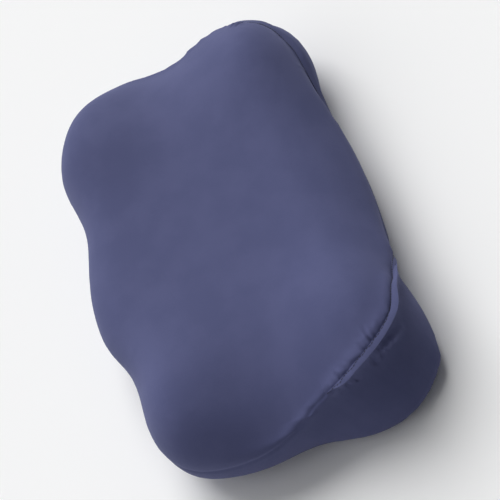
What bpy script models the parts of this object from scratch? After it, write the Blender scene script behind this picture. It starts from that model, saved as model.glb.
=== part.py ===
"""A contoured memory foam pillow in a tight stretch-knit cover, lying face up on its flat underside.

+X runs along the length to the near end, +Y across the width to the zipped side and +Z up through the face.
The origin is on the resting plane, below the middle of the outline. Sizes are in metres but for the outline's rows.
"""
import math
from collections import namedtuple

import bmesh
import bpy
from mathutils import Matrix, Vector

# Driving dimensions
LENGTH = 0.600
WIDTH = 0.372
FACE_HEIGHT = 0.105

# Each raised wing of the face: its rise, its middle measured from the pillow's, and its spread both ways
WING_RISE = 0.020
WING_ALONG = 0.208
WING_ACROSS = 0.112
WING_SPREAD_ALONG = 0.062
WING_SPREAD_ACROSS = 0.046

# The hollow that runs out between the wings at each end: where it starts, its arc's radius, and its spread
HOLLOW_FROM = 0.145
HOLLOW_RADIUS = 0.300
HOLLOW_SPREAD = 0.080

# The angles at which the cage follows the rounded shoulder from the seam up to the face, the seam's tuck,
# and the foot that the flared corner stands on
SHOULDER_DEGREES = (35, 62)
SEAM_TUCK = 0.003
FOOT_RADIUS = 0.016

# The cage: its stations round the outline, and its rings in the underside and the face as shares of their edges.
# Rings up to SQUARE_DEPTH inside the outline run square to it, and deeper ones run towards the core.
STATIONS = 52
UNDERSIDE_RINGS = (0.35, 0.75)
FACE_RINGS = (0.86, 0.71, 0.55, 0.39, 0.21)
SQUARE_DEPTH = 0.040
CORE_LENGTH_SHARE = 0.60
CORE_WIDTH_SHARE = 0.30

# The zip's flap, sewn in at the seam. It stands out level where the seam lies deep, and hangs down where it doesn't.
FLAP_WIDTH = 0.0085
FLAP_THICKNESS = 0.002
FLAP_GAP = 0.0008
FLAP_STATIONS = 120
FLAP_ROWS = 4
FLAP_END_STATIONS = 5
FLAP_END_WIDTH_SHARE = 0.45
FLAP_DROOP_STANDING = 20
FLAP_DROOP_HANGING = 95
FLAP_HANGS_AT_INSET = 0.010
FLAP_STANDS_AT_INSET = 0.022

COVER_COLOUR = (0.090, 0.105, 0.215)
FLAP_COLOUR = (0.095, 0.110, 0.225)

# The outline at its widest, once round from the notch of the near end towards +Y, in millimetres.
# x, y      where the side is widest
# inset     how far the seam lies inside that, and height, how high it runs
# belly     how far the cloth above the seam stands out over it
# reach     how far the shoulder reaches in from there before it is level with the face
# flare     0 where the side rounds under, 1 where it runs out to a low foot
Place = namedtuple("Place", "x y inset height belly reach flare")
OUTLINE = {
    "near notch": Place(293, 4, 8, 72, 3, 42, 0.35),
    "near notch, right": Place(303, 45, 32, 90, 3, 50, 0.80),
    "near right wing tip": Place(308, 93, 46, 100, 3, 55, 1.00),
    "near right corner": Place(288, 146, 48, 105, 3, 58, 1.00),
    "near right wing side": Place(241, 180, 38, 102, 3, 55, 0.90),
    "near right wing, inner": Place(186, 183, 24, 88, 3, 50, 0.55),
    "near right waist": Place(138, 180, 15, 50, 10, 62, 0.15),
    "right bulge, near": Place(70, 185, 13, 34, 13, 80, 0.00),
    "right bulge, middle": Place(0, 190, 13, 32, 13, 85, 0.00),
    "right bulge, far": Place(-65, 188, 13, 36, 13, 80, 0.00),
    "far right waist": Place(-120, 182, 11, 52, 9, 66, 0.00),
    "far right wing, inner": Place(-170, 187, 18, 68, 4, 58, 0.00),
    "far right wing side": Place(-224, 191, 27, 79, 3, 52, 0.00),
    "far right corner": Place(-281, 167, 31, 87, 3, 50, 0.00),
    "far right wing tip": Place(-308, 100, 17, 86, 3, 46, 0.00),
    "far notch, right": Place(-306, 48, 6, 76, 3, 42, 0.00),
    "far notch": Place(-296, 14, 3, 70, 3, 40, 0.00),
    "far notch, left": Place(-308, -32, 3, 66, 3, 42, 0.00),
    "far left wing tip": Place(-310, -82, 3, 62, 3, 44, 0.00),
    "far left corner": Place(-277, -144, 3, 60, 3, 46, 0.00),
    "far left wing side": Place(-208, -181, 3, 59, 3, 46, 0.00),
    "far left wing, inner": Place(-158, -180, 3, 58, 3, 48, 0.00),
    "far left waist": Place(-95, -169, 3, 58, 3, 50, 0.00),
    "left bulge, far": Place(-35, -182, 3, 58, 3, 50, 0.00),
    "left bulge, middle": Place(20, -189, 3, 58, 3, 50, 0.00),
    "left bulge, near": Place(82, -184, 3, 58, 3, 50, 0.00),
    "near left waist": Place(128, -161, 3, 58, 3, 50, 0.00),
    "near left wing, inner": Place(175, -161, 3, 58, 3, 50, 0.00),
    "near left wing side": Place(217, -161, 3, 58, 3, 50, 0.00),
    "near left corner": Place(267, -138, 4, 59, 3, 55, 0.00),
    "near left wing tip": Place(291, -84, 5, 61, 3, 52, 0.00),
    "near notch, left": Place(298, -35, 6, 65, 3, 45, 0.10),
}
MM = 0.001
FINE_STEPS = 12

# The flap's two ends, the far one reached along the zipped side
FLAP_FROM = "near notch, right"
FLAP_TO = "far right wing tip"


def clear_scene():
    for item in list(bpy.data.objects):
        bpy.data.objects.remove(item)


def material(name, colour, roughness, sheen):
    made = bpy.data.materials.new(name)
    made.use_nodes = True
    shader = made.node_tree.nodes["Principled BSDF"]
    shader.inputs["Base Color"].default_value = (*colour, 1.0)
    shader.inputs["Roughness"].default_value = roughness
    shader.inputs["Metallic"].default_value = 0.0
    shader.inputs["Sheen Weight"].default_value = sheen
    return made


def add(collection, name, mesh, finish):
    item = bpy.data.objects.new(name, mesh)
    item.data.materials.append(finish)
    collection.objects.link(item)
    return item


def smooth_loop():
    """A closed smooth curve through the outline's rows, in metres, with FINE_STEPS places from each row to the next."""
    rows = [Place(*(size * MM for size in row[:-1]), row.flare) for row in OUTLINE.values()]
    places = []
    for index in range(len(rows)):
        around = [rows[(index + step) % len(rows)] for step in (-1, 0, 1, 2)]
        for step in range(FINE_STEPS):
            t = step / FINE_STEPS
            places.append(Place(*(between(t, *values) for values in zip(*around))))
    return places


def between(t, before, start, end, after):
    """A Catmull-Rom curve's value from start to end."""
    bend = 2 * before - 5 * start + 4 * end - after
    turn = 3 * start - before - 3 * end + after
    return 0.5 * (2 * start + (end - before) * t + bend * t**2 + turn * t**3)


def evenly(places, samples):
    """Reads that many evenly spaced places along an open run of places, ends included."""
    along = [0.0]
    for one, two in zip(places, places[1:]):
        along.append(along[-1] + math.dist(one[:2], two[:2]))
    picked = []
    index = 0
    for sample in range(samples):
        wanted = along[-1] * sample / (samples - 1)
        while index < len(places) - 2 and along[index + 1] < wanted:
            index += 1
        part = (wanted - along[index]) / (along[index + 1] - along[index])
        picked.append(Place(*(a + (b - a) * part for a, b in zip(places[index], places[index + 1]))))
    return picked


def outward(places, index):
    """The outline's outward direction in plan at one place of an open run."""
    ahead, behind = places[min(index + 1, len(places) - 1)], places[max(index - 1, 0)]
    along = Vector((ahead.x - behind.x, ahead.y - behind.y, 0)).normalized()
    return Vector((along.y, -along.x, 0))


def face_height(x, y):
    """The height of the face: a flat middle, a raised wing towards each corner, and a hollow out between them."""
    rise = 0.0
    for along in (-WING_ALONG, WING_ALONG):
        for across in (-WING_ACROSS, WING_ACROSS):
            away = ((x - along) / WING_SPREAD_ALONG) ** 2 + ((y - across) / WING_SPREAD_ACROSS) ** 2
            rise += WING_RISE * math.exp(-away / 2)
    fall = max(0.0, abs(x) - HOLLOW_FROM) ** 2 / (2 * HOLLOW_RADIUS)
    return FACE_HEIGHT + rise - fall * math.exp(-((y / HOLLOW_SPREAD) ** 2))


def section(place):
    """One side from the underside up to the face: depth inside the outline, level, and share of the rise to the face."""
    inset, height, belly = place.inset, place.height, place.belly
    drawn_in = belly - SEAM_TUCK
    round_side = (
        (0.062, 0.0),
        (0.036 + drawn_in, 0.001),
        (0.013 + drawn_in, 0.22 * height),
        (0.001 + drawn_in, 0.58 * height),
        (drawn_in + 0.35 * (inset - drawn_in), 0.92 * height),
    )
    foot = (
        (0.034, 0.0),
        (0.010, 0.0),
        (-0.002, FOOT_RADIUS),
        (0.45 * inset, 0.50 * height),
        (inset + SEAM_TUCK, height - 0.014),
    )
    side = []
    for rounded, flared in zip(round_side, foot):
        side.append((*(a + (b - a) * place.flare for a, b in zip(rounded, flared)), 0.0))
    side.append((inset, height, 0.0))
    side.append((inset - belly, height + SEAM_TUCK + belly, 0.10))
    for degrees in SHOULDER_DEGREES:
        angle = math.radians(degrees)
        side.append((inset - belly + place.reach * (1 - math.cos(angle)), height, math.sin(angle)))
    side.append((inset - belly + place.reach, height, 1.0))
    return side


def pillow_column(place, side):
    """The cage's points at one station, from the underside's middle up round the side to the face's middle."""
    from_core = Vector((place.x * (1 - CORE_LENGTH_SHARE), place.y * (1 - CORE_WIDTH_SHARE), 0)).normalized()
    edge = []
    for depth, level, share in section(place):
        deep = max(0.0, depth - SQUARE_DEPTH)
        point = Vector((place.x, place.y, 0)) - side * (depth - deep) - from_core * deep
        point.z = level + (face_height(point.x, point.y) - level) * share
        edge.append(point)
    underside = [edge[0] * share for share in UNDERSIDE_RINGS]
    face = []
    for share in FACE_RINGS:
        x, y = edge[-1].x * share, edge[-1].y * share
        face.append(Vector((x, y, face_height(x, y))))
    return underside + edge + face


def pillow_rings():
    fine = smooth_loop()
    loop = evenly(fine + fine[:1], STATIONS + 1)
    loop.insert(0, loop[-2])
    columns = [pillow_column(loop[index], outward(loop, index)) for index in range(1, STATIONS + 1)]
    return list(zip(*columns))


def loft(name, rings):
    """Joins closed rings of equal count with quads and closes both ends."""
    count = len(rings[0])
    faces = [list(range(count))[::-1]]
    for ring in range(len(rings) - 1):
        for index in range(count):
            after = (index + 1) % count
            base, above = ring * count, (ring + 1) * count
            faces.append((base + index, base + after, above + after, above + index))
    faces.append([(len(rings) - 1) * count + index for index in range(count)])
    mesh = bpy.data.meshes.new(name)
    mesh.from_pydata([tuple(point) for ring in rings for point in ring], [], faces)
    mesh.shade_smooth()
    return mesh


def soften(item, levels):
    smooth = item.modifiers.new("soft", "SUBSURF")
    smooth.levels = levels
    smooth.render_levels = levels


def flap_ribbon(name):
    """The middle surface of the flap: a long grid whose rows stand across the seam."""
    names = list(OUTLINE)
    run = slice(names.index(FLAP_FROM) * FINE_STEPS, names.index(FLAP_TO) * FINE_STEPS + 1)
    places = evenly(smooth_loop()[run], FLAP_STATIONS)
    ribbon = bmesh.new()
    bmesh.ops.create_grid(ribbon, x_segments=FLAP_ROWS - 1, y_segments=FLAP_STATIONS - 1, size=1)
    grid = sorted(ribbon.verts, key=lambda corner: (round(corner.co.y, 5), corner.co.x))
    for number, corner in enumerate(grid):
        station, row = divmod(number, FLAP_ROWS)
        place, side = places[station], outward(places, station)
        from_end = min(1.0, min(station, FLAP_STATIONS - 1 - station) / FLAP_END_STATIONS)
        width = FLAP_WIDTH * (FLAP_END_WIDTH_SHARE + (1 - FLAP_END_WIDTH_SHARE) * from_end)
        reach = width * row / (FLAP_ROWS - 1)
        stands = (place.inset - FLAP_HANGS_AT_INSET) / (FLAP_STANDS_AT_INSET - FLAP_HANGS_AT_INSET)
        stands = min(1.0, max(0.0, stands))
        droop = math.radians(FLAP_DROOP_HANGING + (FLAP_DROOP_STANDING - FLAP_DROOP_HANGING) * stands)
        root = Vector((place.x, place.y, place.height)) - side * (place.inset - FLAP_THICKNESS)
        corner.co = root + side * reach * math.cos(droop) - Vector((0, 0, reach * math.sin(droop)))
    mesh = bpy.data.meshes.new(name)
    ribbon.to_mesh(mesh)
    ribbon.free()
    mesh.shade_smooth()
    return mesh


def to_real_size(item):
    """What brings the softened cage to the driving length and width, with the origin below its middle."""
    surface = item.evaluated_get(bpy.context.evaluated_depsgraph_get()).data
    xs = [point.co.x for point in surface.vertices]
    ys = [point.co.y for point in surface.vertices]
    middle = Vector(((min(xs) + max(xs)) / 2, (min(ys) + max(ys)) / 2, 0))
    size = Matrix.Diagonal((LENGTH / (max(xs) - min(xs)), WIDTH / (max(ys) - min(ys)), 1, 1))
    return size @ Matrix.Translation(-middle)


clear_scene()
parts = bpy.data.collections.new("memory_foam_pillow")
bpy.context.scene.collection.children.link(parts)

pillow = add(parts, "pillow", loft("pillow", pillow_rings()), material("knit_cover", COVER_COLOUR, 0.85, 0.35))
soften(pillow, 1)

flap = add(parts, "zip_flap", flap_ribbon("zip_flap"), material("knit_flap", FLAP_COLOUR, 0.85, 0.30))
bpy.context.view_layer.update()
resize = to_real_size(pillow)
for piece in (pillow, flap):
    piece.data.transform(resize)

clear = flap.modifiers.new("clear of the pillow", "SHRINKWRAP")
clear.target = pillow
clear.wrap_method = "NEAREST_SURFACEPOINT"
clear.wrap_mode = "OUTSIDE"
clear.offset = FLAP_THICKNESS / 2 + FLAP_GAP
wall = flap.modifiers.new("thickness", "SOLIDIFY")
wall.thickness = FLAP_THICKNESS
wall.offset = 0.0
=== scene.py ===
"""The memory foam pillow's looks: its tight knit cover, the folded flap over the zip, and the stitches."""
import math
from collections import namedtuple

import bmesh
import bpy
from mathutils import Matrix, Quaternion, Vector
from mathutils.bvhtree import BVHTree
from mathutils.kdtree import KDTree


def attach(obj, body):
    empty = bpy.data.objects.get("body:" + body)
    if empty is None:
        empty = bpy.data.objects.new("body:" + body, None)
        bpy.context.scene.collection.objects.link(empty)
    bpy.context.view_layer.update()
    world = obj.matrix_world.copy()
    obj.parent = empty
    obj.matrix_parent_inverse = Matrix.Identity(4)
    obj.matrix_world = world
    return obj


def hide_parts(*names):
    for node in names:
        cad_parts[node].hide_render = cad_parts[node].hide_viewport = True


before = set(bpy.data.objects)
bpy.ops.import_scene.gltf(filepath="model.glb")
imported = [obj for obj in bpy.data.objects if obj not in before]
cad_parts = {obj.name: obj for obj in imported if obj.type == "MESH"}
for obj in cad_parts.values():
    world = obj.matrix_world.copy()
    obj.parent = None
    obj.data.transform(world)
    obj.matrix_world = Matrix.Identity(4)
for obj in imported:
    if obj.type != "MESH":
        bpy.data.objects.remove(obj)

scene = bpy.context.scene
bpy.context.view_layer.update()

# The pillow: one moulded foam block in a stretch-knit cover. The cover is cut a little small, so that it
# lies on the foam without a fold, and it swells slightly between its seams.
SHRINK = 0.0015
VOXEL = 0.006
WING = Vector((0.208, 0.112))
WING_REACH = 0.084
WING_EDGE = 0.012
WING_STEP = 0.0018
WING_ABOVE = 0.090
BULGE_AT = 53
BULGE_SPREAD = 7
BULGE_OUT = 0.0055
BULGE_HEIGHT = 0.070
BULGE_TALL = 0.012
WAIST_IN = 0.0060
WAIST_HEIGHT = 0.038
WAIST_TALL = 0.016
SWELL_PRESSURE = 3.0
SWELL_FRAMES = 20
SWELL_MOST = 0.002
SWELL_EVENED = 30
SEAM_HOLD = 0.016
RESTING = 0.002


def merged_copy(node):
    """The CAD node's shape as a bmesh of its own, with its loose triangles joined up."""
    shape = bmesh.new()
    shape.from_mesh(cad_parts[node].data)
    bmesh.ops.remove_doubles(shape, verts=shape.verts, dist=0.00001)
    return shape


def taut(point):
    """The point as the cover holds it. The near right wing has a soft rim on the face, and beside that
    corner the face panel's bulge stands out over a waist in the side."""
    if point.z > WING_ABOVE:
        inside = 0.5 - 0.5 * math.tanh(((point.xy - WING).length - WING_REACH) / WING_EDGE)
        point = point + Vector((0, 0, WING_STEP * inside))
    degrees = math.degrees(math.atan2(point.y, point.x))
    share = math.exp(-(((degrees - BULGE_AT) / BULGE_SPREAD) ** 2))
    bulge = BULGE_OUT * math.exp(-(((point.z - BULGE_HEIGHT) / BULGE_TALL) ** 2))
    waist = WAIST_IN * math.exp(-(((point.z - WAIST_HEIGHT) / WAIST_TALL) ** 2))
    return point + Vector((point.x, point.y, 0)).normalized() * share * (bulge - waist)


def new_piece(name, shape):
    mesh = bpy.data.meshes.new(name)
    shape.to_mesh(mesh)
    shape.free()
    piece = bpy.data.objects.new(name, mesh)
    scene.collection.objects.link(piece)
    return piece


def keep_modifiers(piece):
    """Makes what the piece's modifiers show its own mesh."""
    bpy.context.view_layer.update()
    shown = piece.evaluated_get(bpy.context.evaluated_depsgraph_get())
    mesh = bpy.data.meshes.new_from_object(shown)
    piece.modifiers.clear()
    piece.data = mesh
    mesh.shade_smooth()


block = merged_copy("pillow")
block.normal_update()
for corner in block.verts:
    if corner.co.z > SHRINK:
        corner.co = taut(corner.co - corner.normal * SHRINK)
cover = new_piece("knit_cover", block)
even = cover.modifiers.new("even", "REMESH")
even.mode = "VOXEL"
even.voxel_size = VOXEL
keep_modifiers(cover)

# The seam: the face panel and the side panel meet edge to edge. From the near notch round the right side to
# the far end it runs along the sewn edge of the zip's flap. From there back round the left side it lies half
# way up. Its turns are in degrees round the pillow and in millimetres of height.
Turn = namedtuple("Turn", "degrees height")
PLAIN_SEAM = (
    Turn(164, 85),
    Turn(171, 77),
    Turn(178, 69),
    Turn(186, 65),
    Turn(196, 62),
    Turn(210, 60),
    Turn(240, 58),
    Turn(320, 58),
    Turn(342, 60),
    Turn(354, 65),
    Turn(362, 74),
    Turn(367, 84),
)
FLAP_STEP = 2
FLAP_HIGH_FROM = 0.078
FLAP_HIGH_OVER = 0.016
FLAP_LIFT = 0.0060
FLAP_INWARD = 0.0015
FLAP_CLIMB = 0.023
FLAP_CLIMB_AT = 49.3
FLAP_CLIMB_SPREAD = 5.5
FLAP_CLIMB_LEAST = 0.0002
FLAP_INNER_WEIGHT = 0.5
SEAM_POINTS = 720
SEAM_EASED = 8


def highness(z):
    """How far a point of the seam counts as one on a high corner, from 0 to 1."""
    share = min(1.0, max(0.0, (z - FLAP_HIGH_FROM) / FLAP_HIGH_OVER))
    return share * share * (3 - 2 * share)


def side_at(skin, degrees, z):
    """Where a level line in towards the pillow's middle meets its side."""
    out = Vector((math.cos(math.radians(degrees)), math.sin(math.radians(degrees)), 0))
    return skin.ray_cast(Vector((0, 0, z)) + out, -out)[0]


def settled(point, skin):
    """The flap's place on the cover: on the high corners it is sewn right at the face panel's edge, and it
    climbs to the near one over the side's bulge."""
    high = highness(point.z)
    inward = Vector((point.x, point.y, 0)).normalized() * FLAP_INWARD * high
    place = taut(point + Vector((0, 0, FLAP_LIFT * high)) - inward)
    degrees = math.degrees(math.atan2(point.y, point.x))
    climb = FLAP_CLIMB * math.exp(-(((degrees - FLAP_CLIMB_AT) / FLAP_CLIMB_SPREAD) ** 2))
    if climb > FLAP_CLIMB_LEAST:
        place += side_at(skin, degrees, place.z + climb) - side_at(skin, degrees, place.z)
    return place


def flap_edge(skin):
    """The flap's sewn edge, its highest and innermost corner at every other degree round the pillow."""
    found = {}
    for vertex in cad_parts["zip_flap"].data.vertices:
        step = round(math.degrees(math.atan2(vertex.co.y, vertex.co.x)) / FLAP_STEP)
        rank = vertex.co.z - FLAP_INNER_WEIGHT * vertex.co.xy.length
        if step not in found or rank > found[step][0]:
            found[step] = (rank, vertex.co.copy())
    return [settled(found[step][1], skin) for step in sorted(found)]


def plain_edge(skin):
    """The plain seam, at its own height round the far end, the left side and the near end."""
    points = []
    for start, end in zip(PLAIN_SEAM, PLAIN_SEAM[1:]):
        for degrees in range(start.degrees, end.degrees, FLAP_STEP):
            share = (degrees - start.degrees) / (end.degrees - start.degrees)
            height = start.height + (end.height - start.height) * share
            points.append(side_at(skin, degrees, 0.001 * height))
    return points


def lengths_along(line):
    total = [0.0]
    for start, end in zip(line, line[1:] + line[:1]):
        total.append(total[-1] + (end - start).length)
    return total


def evened(line):
    """The same closed line with its points evenly spaced."""
    along = lengths_along(line)
    points = []
    number = 0
    for count in range(SEAM_POINTS):
        wanted = along[-1] * count / SEAM_POINTS
        while along[number + 1] < wanted:
            number += 1
        share = (wanted - along[number]) / (along[number + 1] - along[number])
        points.append(line[number].lerp(line[(number + 1) % len(line)], share))
    return points


def skin_of(piece):
    corners = [vertex.co for vertex in piece.data.vertices]
    faces = [polygon.vertices for polygon in piece.data.polygons]
    return BVHTree.FromPolygons(corners, faces)


def seam_line(piece):
    """The whole seam as evenly spaced points on the cover, the first at the flap's near end."""
    skin = skin_of(piece)
    line = evened(flap_edge(skin) + plain_edge(skin))
    for _ in range(SEAM_EASED):
        after = line[1:] + line[:1]
        line = [(line[i - 1] + line[i] * 2 + after[i]) / 4 for i in range(len(line))]
    return [skin.find_nearest(point)[0] for point in line]


def nearest(line):
    tree = KDTree(len(line))
    for number, point in enumerate(line):
        tree.insert(point, number)
    tree.balance()
    return tree


def swell(piece):
    """Lets air lift the cover between its seams by a millimetre or two. The seam and the underside stay, and
    the lift is evened out from point to point, because the real cover is taut on its foam."""
    before = [v.co.copy() for v in piece.data.vertices]
    outward = [v.normal.copy() for v in piece.data.vertices]
    seam = nearest(seam_line(piece))
    held = piece.vertex_groups.new(name="held")
    for vertex in piece.data.vertices:
        away = seam.find(vertex.co)[2]
        weight = 1.0 if vertex.co.z < RESTING else max(0.0, 1 - away / SEAM_HOLD)
        held.add([vertex.index], weight, "REPLACE")
    cloth = piece.modifiers.new("swell", "CLOTH")
    cloth.settings.quality = 4
    cloth.settings.use_pressure = True
    cloth.settings.uniform_pressure_force = SWELL_PRESSURE
    cloth.settings.tension_stiffness = 15
    cloth.settings.compression_stiffness = 15
    cloth.settings.vertex_group_mass = "held"
    cloth.settings.effector_weights.gravity = 0
    cloth.point_cache.frame_end = SWELL_FRAMES
    for number in range(1, SWELL_FRAMES + 1):
        scene.frame_set(number)
    keep_modifiers(piece)
    scene.frame_set(1)
    lifts = []
    for vertex, start, normal in zip(piece.data.vertices, before, outward):
        lifts.append(min(SWELL_MOST, max(0.0, (vertex.co - start).dot(normal))))
    for _ in range(SWELL_EVENED):
        sums = [0.0] * len(lifts)
        counts = [0] * len(lifts)
        for edge in piece.data.edges:
            one, other = edge.vertices
            sums[one] += lifts[other]
            sums[other] += lifts[one]
            counts[one] += 1
            counts[other] += 1
        lifts = [total / max(1, count) for total, count in zip(sums, counts)]
    for vertex, start, normal, lift in zip(piece.data.vertices, before, outward, lifts):
        vertex.co = start + normal * (lift if start.z > RESTING else 0.0)


swell(cover)

# The cover's seam, puckers and folds: the seam is drawn in by its thread, and lies full where the flap fills
# it. Where it turns a high corner, the face panel's edge is eased on to the shorter side panel, and spare
# cloth stands in short sharp puckers across it. Their places and depths are in millimetres.
SEAM_FINE = 0.016
SEAM_SUNK = 0.0009
SEAM_HALF_WIDTH = 0.0022
SEAM_ROLL = 0.0002
SEAM_ROLL_AWAY = 0.0055
SEAM_REACH = 0.030
FLAP_FULL = 0.0024
FLAP_FULL_WIDTH = 0.0105
FLAP_EASE = 10
PUCKER_WIDTH = 0.0017
PUCKER_STARTS = -0.3
PUCKER_FADE = 0.8
RIDGE_AWAY = 2.1
RIDGE_SHARE = 0.7
Pucker = namedtuple("Pucker", "x y to_x to_y depth")
PUCKERS = (
    Pucker(249, 134, 226, 130, 0.9),
    Pucker(256, 119, 228, 115, 2.4),
    Pucker(254, 126, 236, 121, 1.4),
    Pucker(260, 111, 241, 103, 1.8),
    Pucker(270, 87, 252, 77, 1.7),
    Pucker(273, 78, 254, 68, 2.0),
    Pucker(276, 70, 259, 61, 1.4),
    Pucker(-274, 121, -253, 108, 1.9),
    Pucker(-267, 127, -251, 114, 1.5),
    Pucker(-282, 111, -264, 102, 1.1),
)
PUCKERS_ABOVE = 0.080
PUCKERS_FACING = 0.3
FOLDS_FACING = 0.7
FOLD_WIDTHS = 3
FOLD_END = 0.12
Fold = namedtuple("Fold", "points height width")
FOLDS = (
    Fold(((229, 148, 77), (239, 136, 84), (246, 124, 88), (252, 114, 91)), 2.6, 4.5),
    Fold(((226, 142, 92), (236, 134, 95), (244, 122, 96)), -1.8, 5.5),
    Fold(((-165, 168, 84), (-167, 177, 63), (-155, 178, 56)), 1.6, 2.6),
    Fold(((249, 168, 8), (250, 168, 20), (248, 167, 36)), 2.8, 15.0),
)


def finer_near(piece, seam, distance):
    """Splits the faces beside the seam, so that it and its puckers have enough of them."""
    shape = bmesh.new()
    shape.from_mesh(piece.data)
    close = {vertex for vertex in shape.verts if seam.find(vertex.co)[2] < distance}
    edges = [edge for edge in shape.edges if edge.verts[0] in close and edge.verts[1] in close]
    bmesh.ops.subdivide_edges(shape, edges=edges, cuts=1, use_grid_fill=True, smooth=0.0)
    bmesh.ops.triangulate(shape, faces=[face for face in shape.faces if len(face.verts) > 4])
    shape.to_mesh(piece.data)
    shape.free()


def flap_share(number, ends):
    """How much of the flap is sewn in at a point of the seam: 1 along its run, eased to 0 past its ends."""
    inside = min(number - ends[0], ends[1] - number)
    return min(1.0, max(0.0, 0.5 + 0.5 * inside / FLAP_EASE))


def pucker_move(spot, pucker):
    """A sharp valley from the seam into the face panel, with a soft ridge on either side of it."""
    start = Vector((pucker.x, pucker.y)) / 1000
    run = Vector((pucker.to_x, pucker.to_y)) / 1000 - start
    gap = spot.xy - start
    along = gap.dot(run) / run.length_squared
    if not PUCKER_STARTS < along < 1.0:
        return 0.0
    aside = (gap - run * along).length / PUCKER_WIDTH
    valley = math.exp(-(aside**2))
    ridge = math.exp(-((aside - RIDGE_AWAY) ** 2))
    fading = (1 - max(0.0, along)) ** PUCKER_FADE
    return pucker.depth / 1000 * fading * (RIDGE_SHARE * ridge - valley)


def fold_move(spot, fold):
    """A soft ridge or hollow in the side panel along a line, fading towards both ends of the line."""
    points = [Vector(point) / 1000 for point in fold.points]
    best = None
    for number, (start, end) in enumerate(zip(points, points[1:])):
        run = end - start
        share = min(1.0, max(0.0, (spot - start).dot(run) / run.length_squared))
        away = (spot - start.lerp(end, share)).length * 1000 / fold.width
        if best is None or away < best[0]:
            best = (away, (number + share) / (len(points) - 1))
    if best[0] > FOLD_WIDTHS:
        return 0.0
    strength = math.sin(math.pi * (FOLD_END + (1 - 2 * FOLD_END) * best[1]))
    return fold.height / 1000 * math.exp(-(best[0] ** 2)) * strength


def draw_in(piece, line, ends):
    """Sinks the plain seam, rolls the cloth on either side of it, fills it along the flap, and adds the
    puckers and folds."""
    seam = nearest(line)
    moves = []
    for vertex in piece.data.vertices:
        _, number, away = seam.find(vertex.co)
        move = 0.0
        if away < SEAM_REACH:
            course = (line[(number + 1) % len(line)] - line[number - 1]).normalized()
            gap = vertex.co - line[number]
            away = (gap - course * gap.dot(course)).length
            filled = flap_share(number, ends)
            sunk = SEAM_SUNK * math.exp(-((away / SEAM_HALF_WIDTH) ** 2))
            roll = SEAM_ROLL * math.exp(-(((away - SEAM_ROLL_AWAY) / SEAM_HALF_WIDTH) ** 2) / 2)
            full = FLAP_FULL * math.exp(-((away / FLAP_FULL_WIDTH) ** 2))
            move = filled * highness(line[number].z) * full + (1 - filled) * (roll - sunk)
            if vertex.co.z > PUCKERS_ABOVE:
                facing = min(1.0, max(0.0, vertex.normal.z / PUCKERS_FACING))
                move += facing * sum(pucker_move(vertex.co, pucker) for pucker in PUCKERS)
        if vertex.normal.z < FOLDS_FACING:
            move += sum(fold_move(vertex.co, fold) for fold in FOLDS)
        moves.append(vertex.normal * move)
    for vertex, move in zip(piece.data.vertices, moves):
        vertex.co += move


finer_near(cover, nearest(seam_line(cover)), SEAM_FINE)
soft = cover.modifiers.new("soft", "SUBSURF")
soft.levels = 1
soft.render_levels = 1
keep_modifiers(cover)
course = seam_line(cover)
sewn_edge = flap_edge(skin_of(cover))
flap_ends = [nearest(course).find(point)[1] for point in (sewn_edge[0], sewn_edge[-1])]
draw_in(cover, course, flap_ends)


# The cover's cloth: a fine plain knit in slate violet, matt with a soft bloom. Its rows of loops run along
# the face, and round the pillow on the side panel.
COVER_COLOUR = (0.081, 0.090, 0.198, 1.0)
COVER_FADED = (0.091, 0.100, 0.214, 1.0)
WALE = 0.0013
COURSE_PITCH = 0.0010
SHEEN = 0.12
KNIT_UNDERSIDE = -0.8


def knit_uv(piece, line):
    """Lays the knit flat on each panel: by length and width on the face, by run and height on the side."""
    along = lengths_along(line)
    seam = nearest(line)
    layer = piece.data.uv_layers.new(name="knit")
    places = []
    for vertex in piece.data.vertices:
        number = seam.find(vertex.co)[1]
        places.append((along[number], number))
    for polygon in piece.data.polygons:
        number = places[polygon.vertices[0]][1]
        on_side = polygon.center.z < line[number].z and polygon.normal.z > KNIT_UNDERSIDE
        for loop, index in zip(polygon.loop_indices, polygon.vertices):
            spot = piece.data.vertices[index].co
            if on_side:
                turned = places[index][0]
                if abs(turned - places[polygon.vertices[0]][0]) > along[-1] / 2:
                    turned = places[polygon.vertices[0]][0]
                layer.data[loop].uv = (turned, spot.z)
            else:
                layer.data[loop].uv = (spot.x, spot.y)


knit_uv(cover, course)


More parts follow.
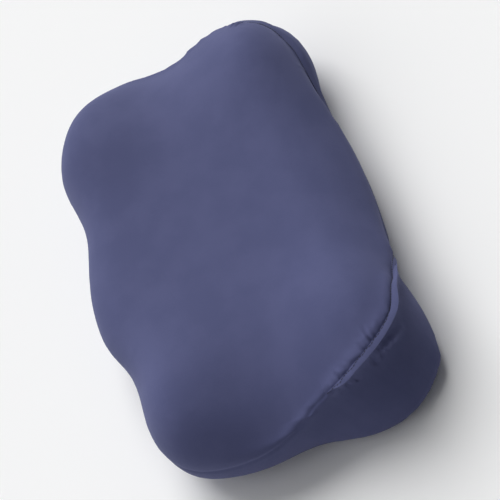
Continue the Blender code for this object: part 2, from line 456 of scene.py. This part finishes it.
def knit_material(name, colour, faded, sheen):
    """A matt stretch knit: chains of V-shaped loops in low relief, faintly uneven in tone, with painted
    shade darkening the hollows between the loops.
    """
    made = bpy.data.materials.new(name)
    made.use_nodes = True
    nodes, links = made.node_tree.nodes, made.node_tree.links
    shader = nodes["Principled BSDF"]
    shader.inputs["Roughness"].default_value = 0.88
    shader.inputs["Specular IOR Level"].default_value = 0.25
    shader.inputs["Sheen Weight"].default_value = sheen
    shader.inputs["Sheen Roughness"].default_value = 0.45
    shader.inputs["Sheen Tint"].default_value = (0.62, 0.66, 0.95, 1.0)

    def math_node(kind, *values):
        node = nodes.new("ShaderNodeMath")
        node.operation = kind
        for socket, value in zip(node.inputs, values):
            if isinstance(value, (int, float)):
                socket.default_value = value
            else:
                links.new(value, socket)
        return node.outputs[0]

    place = nodes.new("ShaderNodeUVMap")
    place.uv_map = "knit"
    parts = nodes.new("ShaderNodeSeparateXYZ")
    links.new(place.outputs["UV"], parts.inputs[0])
    wale = math_node("DIVIDE", parts.outputs["Y"], WALE)
    row = math_node("DIVIDE", parts.outputs["X"], COURSE_PITCH)
    from_middle = math_node("ABSOLUTE", math_node("SUBTRACT", math_node("FRACT", wale), 0.5))
    slant = math_node("ADD", row, math_node("MULTIPLY", from_middle, 1.2))
    loops = math_node("SINE", math_node("MULTIPLY", slant, 2 * math.pi))
    rib = math_node("SINE", math_node("MULTIPLY", from_middle, 2 * math.pi))
    relief = math_node("ADD", math_node("MULTIPLY", loops, 0.35), rib)

    body = nodes.new("ShaderNodeTexCoord")
    cloudy = nodes.new("ShaderNodeTexNoise")
    cloudy.inputs["Scale"].default_value = 22.0
    cloudy.inputs["Detail"].default_value = 6.0
    links.new(body.outputs["Object"], cloudy.inputs["Vector"])
    fuzz = nodes.new("ShaderNodeTexNoise")
    fuzz.inputs["Scale"].default_value = 900.0
    fuzz.inputs["Detail"].default_value = 3.0
    links.new(body.outputs["Object"], fuzz.inputs["Vector"])

    shade = nodes.new("ShaderNodeMix")
    shade.data_type = "RGBA"
    shade.inputs["A"].default_value = colour
    shade.inputs["B"].default_value = faded
    mottle = math_node("MULTIPLY", math_node("SUBTRACT", cloudy.outputs["Fac"], 0.5), 4.2)
    flecks = math_node("MULTIPLY", math_node("SUBTRACT", fuzz.outputs["Fac"], 0.5), 2.0)
    mixed = math_node("ADD", math_node("ADD", mottle, flecks), 0.5)
    links.new(mixed, shade.inputs["Factor"])
    # Painted shade: the colour is multiplied darker in the hollows of the knit's relief, where the loops
    # would shade it.
    painted_hollow_shade = nodes.new("ShaderNodeMix")
    painted_hollow_shade.data_type = "RGBA"
    painted_hollow_shade.blend_type = "MULTIPLY"
    painted_hollow_shade.inputs["B"].default_value = (0.80, 0.80, 0.83, 1.0)
    links.new(shade.outputs["Result"], painted_hollow_shade.inputs["A"])
    links.new(math_node("SUBTRACT", 0.6, math_node("MULTIPLY", relief, 0.5)), painted_hollow_shade.inputs["Factor"])
    links.new(painted_hollow_shade.outputs["Result"], shader.inputs["Base Color"])

    nap = math_node("MULTIPLY", fuzz.outputs["Fac"], 0.8)
    raised = math_node("ADD", math_node("MULTIPLY", relief, 0.6), nap)
    bump = nodes.new("ShaderNodeBump")
    bump.inputs["Distance"].default_value = 0.00012
    bump.inputs["Strength"].default_value = 0.6
    links.new(raised, bump.inputs["Height"])
    links.new(bump.outputs["Normal"], shader.inputs["Normal"])
    return made


cover.data.materials.clear()
cover.data.materials.append(knit_material("cover_knit", COVER_COLOUR, COVER_FADED, SHEEN))
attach(cover, "root")
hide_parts("pillow")


# The zip's flap: a strip of the same knit, folded double and sewn into the seam by its raw edges. It covers
# the zip from the near notch round the right side to the far end.
FLAP_EDGE = 0.0008
FLAP_LEVELLED = 0.10
FLAP_DRAWN_IN = 0.14
FLAP_TAPER = 7
FLAP_TIP = 0.15
FLAP_NEIGHBOURS = 5
FLAP_SEWN = 0.0026
FLAP_ABOVE = 0.0002
FLAP_CLOSER = 0.0010
# Painted shade: the flap's knit has the cover's colours made a little darker.
FLAP_SHADED_COLOUR = (0.077, 0.086, 0.188, 1.0)
FLAP_SHADED_FADED = (0.088, 0.097, 0.205, 1.0)

strip = merged_copy("zip_flap")
bmesh.ops.join_triangles(
    strip,
    faces=strip.faces,
    angle_face_threshold=math.radians(25),
    angle_shape_threshold=math.radians(50),
)
strip_seam = nearest(course)
cover_skin = skin_of(cover)
placed = []
for vertex in strip.verts:
    high = highness(vertex.co.z)
    vertex.co = settled(vertex.co, cover_skin)
    _, number, away = strip_seam.find(vertex.co)
    to_end = min(number - flap_ends[0], flap_ends[1] - number) / FLAP_TAPER
    width = min(1.0, max(FLAP_TIP, FLAP_TIP + (1 - FLAP_TIP) * to_end))
    narrow = 1 - (1 - FLAP_DRAWN_IN * high) * width
    vertex.co += (course[number] - vertex.co) * narrow
    vertex.co.z += high * FLAP_LEVELLED * away
    spot, normal, _, _ = cover_skin.find_nearest(vertex.co)
    clear = (vertex.co - spot).dot(normal)
    placed.append((vertex, number, away, high, normal, clear))
for vertex, number, away, high, normal, clear in placed:
    edge = min(near[2] for near in placed if abs(near[1] - number) < FLAP_NEIGHBOURS)
    sewn = math.exp(-(((away - edge) / FLAP_SEWN) ** 2))
    vertex.co -= normal * (sewn * (clear - FLAP_ABOVE) + (1 - high) * FLAP_CLOSER)
flap = new_piece("zip_flap_cloth", strip)
fold = flap.modifiers.new("fold", "BEVEL")
fold.limit_method = "ANGLE"
fold.angle_limit = math.radians(50)
fold.width = FLAP_EDGE
fold.segments = 2
fold.profile = 0.5
bend = flap.modifiers.new("bend", "SUBSURF")
bend.levels = 1
bend.render_levels = 1
keep_modifiers(flap)


def flap_uv(piece, line):
    along = lengths_along(line)
    seam = nearest(line)
    layer = piece.data.uv_layers.new(name="knit")
    spots = []
    for vertex in piece.data.vertices:
        _, number, away = seam.find(vertex.co)
        spots.append((along[number], away))
    for polygon in piece.data.polygons:
        for loop, index in zip(polygon.loop_indices, polygon.vertices):
            layer.data[loop].uv = spots[index]


flap_uv(flap, course)
flap.data.materials.clear()
flap.data.materials.append(knit_material("flap_knit_shaded", FLAP_SHADED_COLOUR, FLAP_SHADED_FADED, SHEEN))
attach(flap, "root")
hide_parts("zip_flap")


# The topstitching: a row of thread that holds the flap's raw edges to the seam. It is coloured near black so
# that it also stands in for the small shadows along the stitch line: partly real thread, partly painted
# shadow. Each stitch is a short bar of thread, half sunk in the cloth.
THREAD_RADIUS = 0.00045
STITCH_LENGTH = 0.0026
STITCH_PITCH = 0.0038
STITCH_ON_FLAP = 0.0009
STITCH_LOOK_FROM = 0.010
# Painted shadow on real thread: both thread colours are near black, darker than the cloth, to stand in for
# the shadows at the stitches.
THREAD_AND_SHADOW_COLOUR = (0.010, 0.011, 0.026, 1.0)
THREAD_TWIST_AND_SHADOW_COLOUR = (0.030, 0.034, 0.072, 1.0)


def stitch(thread, middle, direction):
    """One stitch: a small six-sided bar along the seam."""
    made = bmesh.ops.create_cone(
        thread,
        cap_ends=True,
        segments=6,
        radius1=THREAD_RADIUS,
        radius2=THREAD_RADIUS,
        depth=STITCH_LENGTH,
        matrix=direction.to_track_quat("Z", "Y").to_matrix().to_4x4(),
    )
    for corner in made["verts"]:
        corner.co += middle


def sew(line):
    """The row of stitches just beside the seam, on the flap or, where that is turned in, on the cover."""
    skins = (skin_of(flap), skin_of(cover))
    thread = bmesh.new()
    travelled = 0.0
    wanted = 0.0
    for number in range(flap_ends[0], flap_ends[1]):
        step = line[number + 1] - line[number]
        while wanted < travelled + step.length:
            spot = line[number] + step * ((wanted - travelled) / step.length)
            wanted += STITCH_PITCH
            aside = Vector((spot.x, spot.y, 0)).normalized()
            look = (aside + Vector((0, 0, 1))).normalized()
            start = spot + aside * STITCH_ON_FLAP + look * STITCH_LOOK_FROM
            found = [skin.ray_cast(start, -look) for skin in skins]
            above = min((hit for hit in found if hit[0] is not None), key=lambda hit: hit[3])
            stitch(thread, above[0], step)
        travelled += step.length
    return thread


stitches = new_piece("flap_stitches", sew(course))
stitches.data.shade_smooth()
thread_and_shadow_finish = bpy.data.materials.new("thread")
thread_and_shadow_finish.use_nodes = True
thread_shader = thread_and_shadow_finish.node_tree.nodes["Principled BSDF"]
thread_shader.inputs["Roughness"].default_value = 0.6
twist = thread_and_shadow_finish.node_tree.nodes.new("ShaderNodeTexNoise")
twist.inputs["Scale"].default_value = 1500.0
twist_place = thread_and_shadow_finish.node_tree.nodes.new("ShaderNodeTexCoord")
twist_shade = thread_and_shadow_finish.node_tree.nodes.new("ShaderNodeMix")
twist_shade.data_type = "RGBA"
twist_shade.inputs["A"].default_value = THREAD_AND_SHADOW_COLOUR
twist_shade.inputs["B"].default_value = THREAD_TWIST_AND_SHADOW_COLOUR
thread_links = thread_and_shadow_finish.node_tree.links
thread_links.new(twist_place.outputs["Object"], twist.inputs["Vector"])
thread_links.new(twist.outputs["Fac"], twist_shade.inputs["Factor"])
thread_links.new(twist_shade.outputs["Result"], thread_shader.inputs["Base Color"])
stitches.data.materials.append(thread_and_shadow_finish)
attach(stitches, "root")


# The studio: a white floor, broad soft light from the far left, and the photograph's view of the face.
FLOOR_HALF = 6
FLOOR_DROP = 0.0005
CAMERA_TARGET = Vector((0, 0, 0.060))
CAMERA_AZIMUTH = 105.5
CAMERA_ELEVATION = 52.25
CAMERA_ROLL = -39.53
CAMERA_DISTANCE = 1.446
FOCAL_PIXELS = 1200.7
TARGET_PIXEL = (224.6, 235.4)
FRAME_PIXELS = 500
SENSOR = 36.0

floor_shape = bmesh.new()
bmesh.ops.create_grid(floor_shape, x_segments=1, y_segments=1, size=FLOOR_HALF)
floor = new_piece("floor", floor_shape)
paper = bpy.data.materials.new("floor_paper")
paper.use_nodes = True
paper_shader = paper.node_tree.nodes["Principled BSDF"]
paper_shader.inputs["Base Color"].default_value = (0.96, 0.96, 0.96, 1.0)
paper_shader.inputs["Roughness"].default_value = 0.9
floor.data.materials.append(paper)
floor.location.z = -FLOOR_DROP

Lamp = namedtuple("Lamp", "name azimuth elevation spread strength")
LAMPS = (
    Lamp("key", 195, 46, 50, 2.75),
    Lamp("left_fill", 262, 44, 60, 0.60),
    Lamp("low_far", 180, 14, 40, 0.45),
    Lamp("low_near", 305, 20, 50, 0.28),
)
for lamp in LAMPS:
    data = bpy.data.lights.new(lamp.name, "SUN")
    data.energy = lamp.strength
    data.angle = math.radians(lamp.spread)
    turn, tilt = math.radians(lamp.azimuth), math.radians(lamp.elevation)
    away = Vector((math.cos(turn) * math.cos(tilt), math.sin(turn) * math.cos(tilt), math.sin(tilt)))
    item = bpy.data.objects.new(lamp.name, data)
    item.rotation_euler = (-away).to_track_quat("-Z", "Y").to_euler()
    scene.collection.objects.link(item)

world = bpy.data.worlds.new("studio")
scene.world = world
world.use_nodes = True
world.node_tree.nodes["Background"].inputs["Color"].default_value = (0.95, 0.97, 1.0, 1.0)
world.node_tree.nodes["Background"].inputs["Strength"].default_value = 0.12
scene.view_settings.view_transform = "Standard"

turn, tilt = math.radians(CAMERA_AZIMUTH), math.radians(CAMERA_ELEVATION)
back = Vector((math.sin(turn) * math.cos(tilt), -math.cos(turn) * math.cos(tilt), math.sin(tilt)))
lens = bpy.data.cameras.new("photo_view")
lens.sensor_width = SENSOR
lens.lens = FOCAL_PIXELS / FRAME_PIXELS * SENSOR
lens.shift_x = (FRAME_PIXELS / 2 - TARGET_PIXEL[0]) / FRAME_PIXELS
lens.shift_y = (TARGET_PIXEL[1] - FRAME_PIXELS / 2) / FRAME_PIXELS
view = bpy.data.objects.new("photo_view", lens)
view.location = CAMERA_TARGET + back * CAMERA_DISTANCE
view.rotation_mode = "QUATERNION"
roll = Quaternion((0, 0, 1), math.radians(CAMERA_ROLL))
view.rotation_quaternion = (-back).to_track_quat("-Z", "Y") @ roll
scene.collection.objects.link(view)
scene.camera = view
